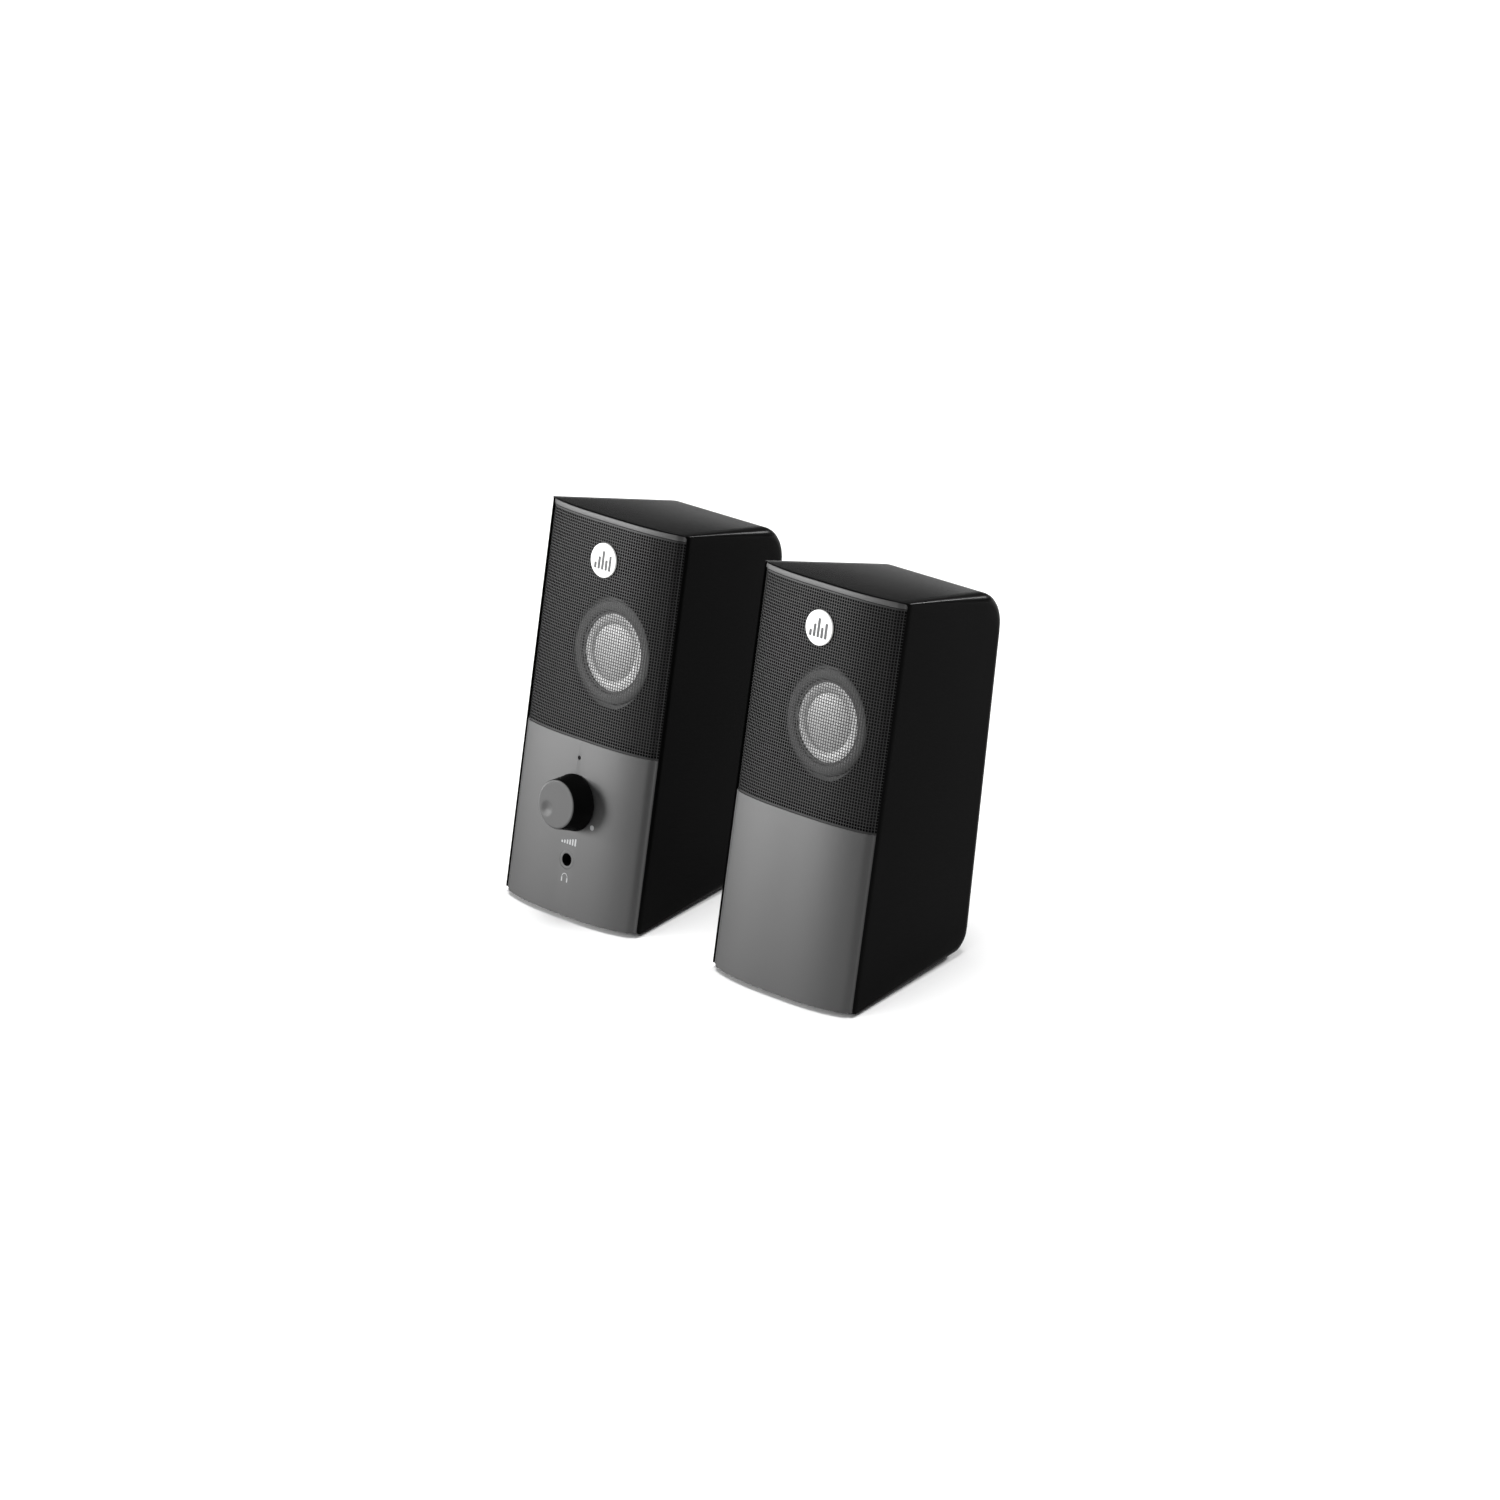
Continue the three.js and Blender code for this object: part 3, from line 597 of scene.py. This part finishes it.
def perforated_sheet():
    """The sheet's points, front layer then back layer, and the quads of its web."""
    table_x, table_s = along_bend(PANEL_HALF)
    s = lattice(COLUMNS, table_s[0], table_s[-1])
    x, h = np.interp(s, table_s, table_x), lattice(ROWS, GRILLE_LOW, GRILLE_HIGH)
    nx, nh = len(x), len(h)
    xx, hh = np.meshgrid(x, h, indexing="ij")
    bend = bulge(xx) + edge_roll(xx) + GRILLE_LIFT
    layers = [tilted(xx, bend + d, hh).reshape(-1, 3) for d in (0, SHEET)]
    solid = np.ones((nx - 1, nh - 1), bool)
    solid[1::2, 1::2] = False
    i, j = np.nonzero(solid)
    front = np.stack([i * nh + j, (i + 1) * nh + j, (i + 1) * nh + j + 1, i * nh + j + 1], -1)
    padded = np.pad(solid, 1)
    walls = []
    for axis in (0, 1):
        change = np.diff(padded.astype(int), axis=axis)
        change = change[:, 1:-1] if axis == 0 else change[1:-1, :]
        a, b = np.nonzero(change)
        p, q = a * nh + b, (a + (axis == 1)) * nh + b + (axis == 0)
        wall = np.stack([p, q, q + nx * nh, p + nx * nh], -1)
        towards = change[a, b] * (1 if axis == 0 else -1) > 0
        walls.append(np.where(towards[:, None], wall, wall[:, ::-1]))
    return np.concatenate(layers), np.concatenate([front, front[:, ::-1] + nx * nh, *walls])


def sheet_object(name, side, local, faces, material):
    """Like piece, but without the joining of near points, which would take long here."""
    mesh = bpy.data.meshes.new(name)
    mesh.from_pydata(in_room(side, local).tolist(), [], faces.tolist())
    bm = bmesh.new()
    bm.from_mesh(mesh)
    bmesh.ops.recalc_face_normals(bm, faces=bm.faces)
    bm.to_mesh(mesh)
    bm.free()
    mesh.shade_smooth()
    mesh.set_sharp_from_angle(angle=math.radians(38))
    mesh.materials.append(material)
    obj = bpy.data.objects.new(name, mesh)
    bpy.context.scene.collection.objects.link(obj)
    return obj


for side in CENTRES:
    points, faces = perforated_sheet()
    grille = sheet_object(f"{side}_grille_sheet", side, points, faces, GRILLE_BLACK)
    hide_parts(f"{side}_grille")
    grille.visible_shadow = False      # so that light reaches the driver through the web
    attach(grille, f"{side}_speaker")
    print(grille.name, len(grille.data.polygons), "quads")

# %% [markdown]
# ## The loudspeaker behind the grille
# What shows through the holes is a bright cone inside a dark rubber surround. The cone is
# nearly flat at its rim and dips towards its throat, which a wide shallow dome covers.
# The surround is a low half-roll, made in two halves that meet at the top of the roll.

# %% Cone, dome and surround
LIP = 12.0                                # how far behind the front the driver's lips sit
CONE_R, CONE_HOLE_R, RING_R = 16.6, 6.9, 22.0
CONE_STEP, CONE_DEEP, CONE_THICK = 0.5, 8.0, 0.5
DOME_R, DOME_STEP, DOME_DEEP, DOME_THICK = 11.6, 0.4, 0.65, 0.4
ROLL_HIGH, ROLL_THICK = 0.6, 0.42
BLEND_NEAR, BLEND_FAR = 8.2, 12.0         # two depths along the driver's axis, near and far


def swept(name, side, profile, material, body, stands_for, h0=DRIVER_H, segments=128,
          sharp=38):
    """A turned part on an axis that is square to the leaning front, at height h0."""
    points, faces = turn(profile, segments)
    return piece(name, side, at_front(points, h0), faces, [material], body, stands_for,
                 sharp)


r = np.linspace(CONE_HOLE_R, CONE_R, 15)
flare = LIP + CONE_STEP + CONE_DEEP * ((CONE_R - r) / (CONE_R - CONE_HOLE_R)) ** 4
CONE_PROFILE = np.concatenate([np.column_stack([r, flare]),
                               np.column_stack([r, flare + CONE_THICK])[::-1]])
a = np.linspace(0, math.radians(60), 12)
dome_depth = LIP + DOME_STEP + DOME_DEEP * (1 - np.cos(a)) / (1 - math.cos(a[-1]))
dome = np.column_stack([DOME_R * np.sin(a) / math.sin(a[-1]), dome_depth])
DOME_PROFILE = np.concatenate([dome, (dome + [0, DOME_THICK])[::-1]])


def roll_half(inner):
    """Half of the surround: a flat lip, then a quarter of the half-roll up to its top."""
    start, crown, lip = ((CONE_R + 0.3, (CONE_R + RING_R) / 2, CONE_R - 0.6) if inner
                         else (RING_R - 0.3, (CONE_R + RING_R) / 2, RING_R + 1.2))
    a = np.linspace(0, math.pi / 2, 9)
    r = start + (crown - start) * (1 - np.cos(a))
    c = LIP - ROLL_HIGH * np.sin(a)
    top = np.concatenate([[[lip, LIP]], np.column_stack([r, c])])
    return np.concatenate([top, (top + [0, ROLL_THICK])[::-1]])


for side in CENTRES:
    speaker, moving = f"{side}_speaker", f"{side}_diaphragm"
    swept(f"{side}_cone", side, CONE_PROFILE, CONE_SILVER, moving,
          [f"{side}_driver_cone"])
    swept(f"{side}_dome", side, DOME_PROFILE, CONE_SILVER, moving,
          [f"{side}_driver_dust_cap"])
    for inner in (True, False):
        half = swept(f"{side}_surround_{'inner' if inner else 'outer'}", side,
                     roll_half(inner), SURROUND_RUBBER, None,
                     [f"{side}_driver_surround"] if inner else [])
        depths = (BLEND_NEAR, BLEND_FAR) if inner else (BLEND_FAR, BLEND_NEAR)
        ends = [in_room(side, tilted(0.0, c, DRIVER_H)) for c in depths]
        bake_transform(half)
    print(side, "driver made")

# %% [markdown]
# ## The volume knob
# The knob is a tapered cap: a satin grey face with a shallow finger dimple at its "off"
# place, and glossy black sides. The face is a polar grid whose depth is a flat disc
# plus the dimple, (1 - (distance / radius)^2)^2 deep, so the dimple has a soft rim.

# %% Make the knob
KNOB_R, KNOB_FACE_R, KNOB_OUT = 11.9, 10.3, 10.5
DIMPLE_AT, DIMPLE_REACH, DIMPLE_R, DIMPLE_DEEP = math.radians(211), 5.6, 3.6, 0.5
KNOB_EDGE_R, SHAFT_BORE_R, SHAFT_BORE_DEEP = 0.8, 3.05, 7.9


def knob_points(segments=128):
    """Rings from the middle of the face outwards, over the rim, down the side, and back
    inside to the bore for the shaft."""
    flat_r = KNOB_FACE_R - KNOB_EDGE_R
    face = [[r, -KNOB_OUT] for r in np.linspace(0, flat_r, 26)]
    a = np.linspace(0, math.pi / 2, 7)[1:]
    edge = [[flat_r + KNOB_EDGE_R * math.sin(t), -KNOB_OUT + KNOB_EDGE_R * (1 - math.cos(t))]
            for t in a]
    foot = [[KNOB_R - 0.12, -0.8], [KNOB_R, -0.65], [KNOB_R, -0.5], [KNOB_R - 0.15, -0.4],
            [SHAFT_BORE_R, -0.4], [SHAFT_BORE_R, -SHAFT_BORE_DEEP], [0, -SHAFT_BORE_DEEP]]
    profile = np.array(face + edge + foot)
    points, _ = turn(profile, segments)
    dx = points[:, 0] - DIMPLE_REACH * math.cos(DIMPLE_AT)
    dh = points[:, 2] - DIMPLE_REACH * math.sin(DIMPLE_AT)
    near = np.clip(1 - (dx ** 2 + dh ** 2) / DIMPLE_R ** 2, 0, 1)
    on_face = np.repeat(np.arange(len(profile)) < len(face), segments)
    points[:, 1] += on_face * DIMPLE_DEEP * near ** 2
    return points, quads(len(profile), segments, False, True), len(face) + 1, segments


points, faces, grey_rings, segments = knob_points()
paint = np.arange(len(faces)) // segments >= grey_rings + 1
knob = piece("volume_knob_cap", "left", at_front(points, KNOB_H), faces,
             [KNOB_GREY, GLOSS_BLACK], "volume_control", ["left_volume_knob"],
             indices=paint)
print(knob.name, len(knob.data.polygons), "faces")

# %% [markdown]
# ## Light, socket, badge and printed signs
# The power light is the end of a smoked light pipe, and the headphone socket is a collar in the
# fascia's grey with a black bore, whose black is darkened further as painted shade. The badge is a
# plain white disc with upright bars, a general sign for sound level. The printed signs are thin
# layers of ink on the front: rising bars for volume, a dot where the volume is full, and a
# headphone outline.

# %% Small round parts on the front
light = rounded([[0, 0.2], [0.86, 0.2], [0.86, 3.2], [0, 3.2]], [0, 0.15, 0, 0])
swept("power_light_lens", "left", light, LENS, "left_speaker", ["left_power_light"],
      LED_H, 32)
collar = rounded([[2.66, 0.03], [3.95, 0.03], [3.95, 3.0], [2.66, 3.0]], [0.08, 0.1, 0, 0])
swept("headphone_collar", "left", collar, SATIN_GREY, "left_speaker", [],
      JACK_H, 64)
barrel = rounded([[0, 9], [4.2, 9], [4.2, 3.05], [2.62, 3.05], [2.62, 0.12], [2.56, 0.12],
                  [1.85, 1.6], [1.85, 8], [0, 8]], [0, 0.2, 0.2, 0, 0.02, 0.02, 0.1, 0, 0])
swept("headphone_barrel", "left", barrel, BLACK_PAINT_AND_PAINTED_SHADE, "left_speaker",
      ["left_headphone_jack"], JACK_H, 64)


def decal(name, side, outline, material, c=0.0, proud=0.05):
    """A thin solid on the front: the outline (x, h) at two depths, joined by a wall. Its
    middle follows the bulge where the outline's own points are."""
    p = np.asarray(outline, float)
    front = tilted(p[:, 0], bulge(p[:, 0]) + c - proud, p[:, 1])
    back = tilted(p[:, 0], bulge(p[:, 0]) + c + 0.03, p[:, 1])
    n = len(p)
    faces = [list(range(n)), list(range(2 * n - 1, n - 1, -1))]
    faces += quads(2, n, False, True).tolist()
    return piece(name, side, np.concatenate([front, back]), faces, [material],
                 f"{side}_speaker", [])


def bar(x0, x1, h0, h1, r=0.25):
    """The outline of an upright bar with rounded corners."""
    return rounded([[x0, h0], [x1, h0], [x1, h1], [x0, h1]], [r] * 4)


def band(x, h, width):
    """The outline of a band of even width along a path: each side is the path moved by
    half the width along its normal."""
    dx, dh = np.gradient(x), np.gradient(h)
    k = np.hypot(dx, dh)
    nx, nh = -dh / k * width / 2, dx / k * width / 2
    return np.concatenate([np.column_stack([x + nx, h + nh]),
                           np.column_stack([x - nx, h - nh])[::-1]])


# %% The badge and its bars
BADGE_R, BADGE_PROUD, BADGE_SUNK = 7.1, 0.55, 0.25
BARS_LOW, BAR_HALF, BAR_GAP = BADGE_H - 3.9, 0.68, 2.0
for side in CENTRES:
    rim = rounded([[0, -BADGE_PROUD], [BADGE_R, -BADGE_PROUD], [BADGE_R, BADGE_SUNK],
                   [0, BADGE_SUNK]], [0, 0.35, 0.1, 0], 6)
    swept(f"{side}_badge_disc", side, rim, BADGE_WHITE, f"{side}_speaker",
          [f"{side}_badge"], BADGE_H, 96)
    for i, tall in enumerate((2.6, 5.2, 7.8, 4.4, 6.4)):
        x = (i - 2) * BAR_GAP
        decal(f"{side}_badge_bar_{i + 1}", side,
              bar(x - BAR_HALF, x + BAR_HALF, BARS_LOW, BARS_LOW + tall, 0.5),
              BADGE_INK, c=-0.56, proud=0.03)

# %% The printed signs beside the knob and the socket
DOT_X, DOT_H, DOT_R = 11.8, 40.7, 1.05
SIGN_LOW, SIGN_FIRST, SIGN_STEP, SIGN_HALF, SIGN_GAP = 30.8, 31.3, 0.42, 0.42, 1.5
a = np.linspace(0, 2 * math.pi, 33)[:-1]
decal("full_volume_dot", "left",
      np.column_stack([DOT_X + DOT_R * np.cos(a), DOT_H + DOT_R * np.sin(a)]), PRINT_GREY)
for i in range(6):
    x = (i - 2.5) * SIGN_GAP
    tall = SIGN_FIRST + SIGN_STEP * (i + 1)
    decal(f"volume_sign_{i + 1}", "left",
          bar(x - SIGN_HALF, x + SIGN_HALF, SIGN_LOW, tall, 0.15), PRINT_GREY)
a = np.linspace(math.radians(8), math.radians(172), 25)
decal("headphone_sign_band", "left",
      band(1.55 * np.cos(a), 16.6 + 1.75 * np.sin(a), 0.26), PRINT_GREY)
for name, x in (("left", -1.5), ("right", 1.5)):
    decal(f"headphone_sign_{name}", "left", bar(x - 0.3, x + 0.3, 14.8, 16.7, 0.25), PRINT_GREY)
print("front signs made")

# %% [markdown]
# ## The parts that keep their mechanical shape
# The back panels, glands, screws and the parts inside are already the right shape, so they only
# need their real finishes, except that the baffle's black is darkened as painted shade. Each
# finish goes into the part's material slot.

# %% Finish the mechanical parts
FINISHES = {
    # the baffle's black is partly painted shade, standing in for the shadow that the grille does
    # not cast
    "rear_panel": MATTE_BLACK, "baffle": BLACK_PAINT_AND_PAINTED_SHADE, "driver_basket": COATED_STEEL,
    "voice_coil": FORMER_AMBER, "spider": SPIDER_COTTON, "driver_top_plate": ZINC_STEEL,
    "driver_magnet": FERRITE, "driver_yoke": ZINC_STEEL, "screw": COATED_STEEL,
    "cable_gland": FOOT_RUBBER, "foot": FOOT_RUBBER, "pot_shaft": ZINC_STEEL,
    "pot_body": RESIN_BLACK, "amp_board": BOARD_GREEN, "heat_sink": ZINC_STEEL,
    "capacitor": RESIN_BLACK,
}
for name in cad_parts:
    short = name.split("_", 1)[1].rstrip("_1234567890")
    if short in FINISHES:
        part = bpy.data.objects[name]
        part.data.materials.clear()
        part.data.materials.append(FINISHES[short])
print("finished", len(FINISHES), "kinds of part")

# %% [markdown]
# ## Studio
# A pale floor under a soft overhead sun, and three soft square lights. The key and the
# low sheen light stand at the front left, where the grey fronts mirror them to the
# camera, and the rear one draws the thin highlight along the cabinets' long edges. The
# right-hand sides face away from the front lights and stay dark. The camera has a long
# lens and looks down a little, from the right.

# %% Floor and lights
def floor_material():
    m = bpy.data.materials.new("matte_white_paper")
    m.use_nodes = True
    bsdf = m.node_tree.nodes["Principled BSDF"]
    bsdf.inputs["Base Color"].default_value = linear(0xF4F4F4)
    bsdf.inputs["Roughness"].default_value = 0.9
    bsdf.inputs["Specular IOR Level"].default_value = 0.1
    return m


FLOOR_HALF, WORLD_LEVEL = 6.0, 0.28
corners = [(x * FLOOR_HALF, y * FLOOR_HALF, 0) for x, y in ((-1, -1), (1, -1), (1, 1), (-1, 1))]
mesh = bpy.data.meshes.new("studio_floor")
mesh.from_pydata(corners, [], [(0, 1, 2, 3)])
mesh.materials.append(floor_material())
floor = bpy.data.objects.new("studio_floor", mesh)
bpy.context.scene.collection.objects.link(floor)

world = bpy.data.worlds.new("studio")
bpy.context.scene.world = world
world.use_nodes = True
world.node_tree.nodes["Background"].inputs["Color"].default_value = linear(0xFFFFFF)
world.node_tree.nodes["Background"].inputs["Strength"].default_value = WORLD_LEVEL
bpy.context.scene.view_settings.view_transform = "Standard"


def soft_light(name, place, target, width, watts):
    """A square area light at a place, facing a target, both in metres."""
    data = bpy.data.lights.new(name, "AREA")
    data.size, data.energy = width, watts
    lamp = bpy.data.objects.new(name, data)
    lamp.location = place
    lamp.rotation_mode = "QUATERNION"
    lamp.rotation_quaternion = (Vector(target) - Vector(place)).to_track_quat("-Z", "Y")
    bpy.context.scene.collection.objects.link(lamp)
    return lamp


sky = bpy.data.lights.new("sky", "SUN")
sky.energy, sky.angle = 2.3, math.radians(30)
bpy.context.scene.collection.objects.link(bpy.data.objects.new("sky", sky))
soft_light("front_key", (-1.15, -1.3, 0.36), (0, 0, 0.08), 0.45, 27)
soft_light("left_sheen", (-1.5, -0.55, 0.15), (0, 0, 0.08), 0.5, 19)
soft_light("rear_strip", (0.2, 2.45, 1.04), (0, 0, 0.15), 0.4, 75)

# %% The camera
AZIMUTH, ELEVATION, TILT = map(math.radians, (43.885, 20.745, -0.315))
DISTANCE, TARGET = 2.2625, Vector((0.04635, -0.04912, 0.10102))
LENS_MM = 137.794


def aim_camera():
    """Looks from the right and above: back = (sin a cos e, -cos a cos e, sin e)."""
    data = bpy.data.cameras.new("camera")
    data.lens, data.sensor_width = LENS_MM, 36.0
    data.clip_start, data.clip_end = 0.05, 50
    cam = bpy.data.objects.new("camera", data)
    bpy.context.scene.collection.objects.link(cam)
    back = Vector((math.sin(AZIMUTH) * math.cos(ELEVATION),
                   -math.cos(AZIMUTH) * math.cos(ELEVATION), math.sin(ELEVATION)))
    right = Vector((0, 0, 1)).cross(back).normalized()
    up = back.cross(right)
    r = right * math.cos(TILT) + up * math.sin(TILT)
    u = -right * math.sin(TILT) + up * math.cos(TILT)
    turn_to = Matrix((r, u, back)).transposed().to_4x4()
    cam.matrix_world = Matrix.Translation(TARGET + back * DISTANCE) @ turn_to
    bpy.context.scene.camera = cam
    return cam


camera = aim_camera()
print("lens", round(camera.data.lens, 1), "mm at", [round(v, 3) for v in camera.location])
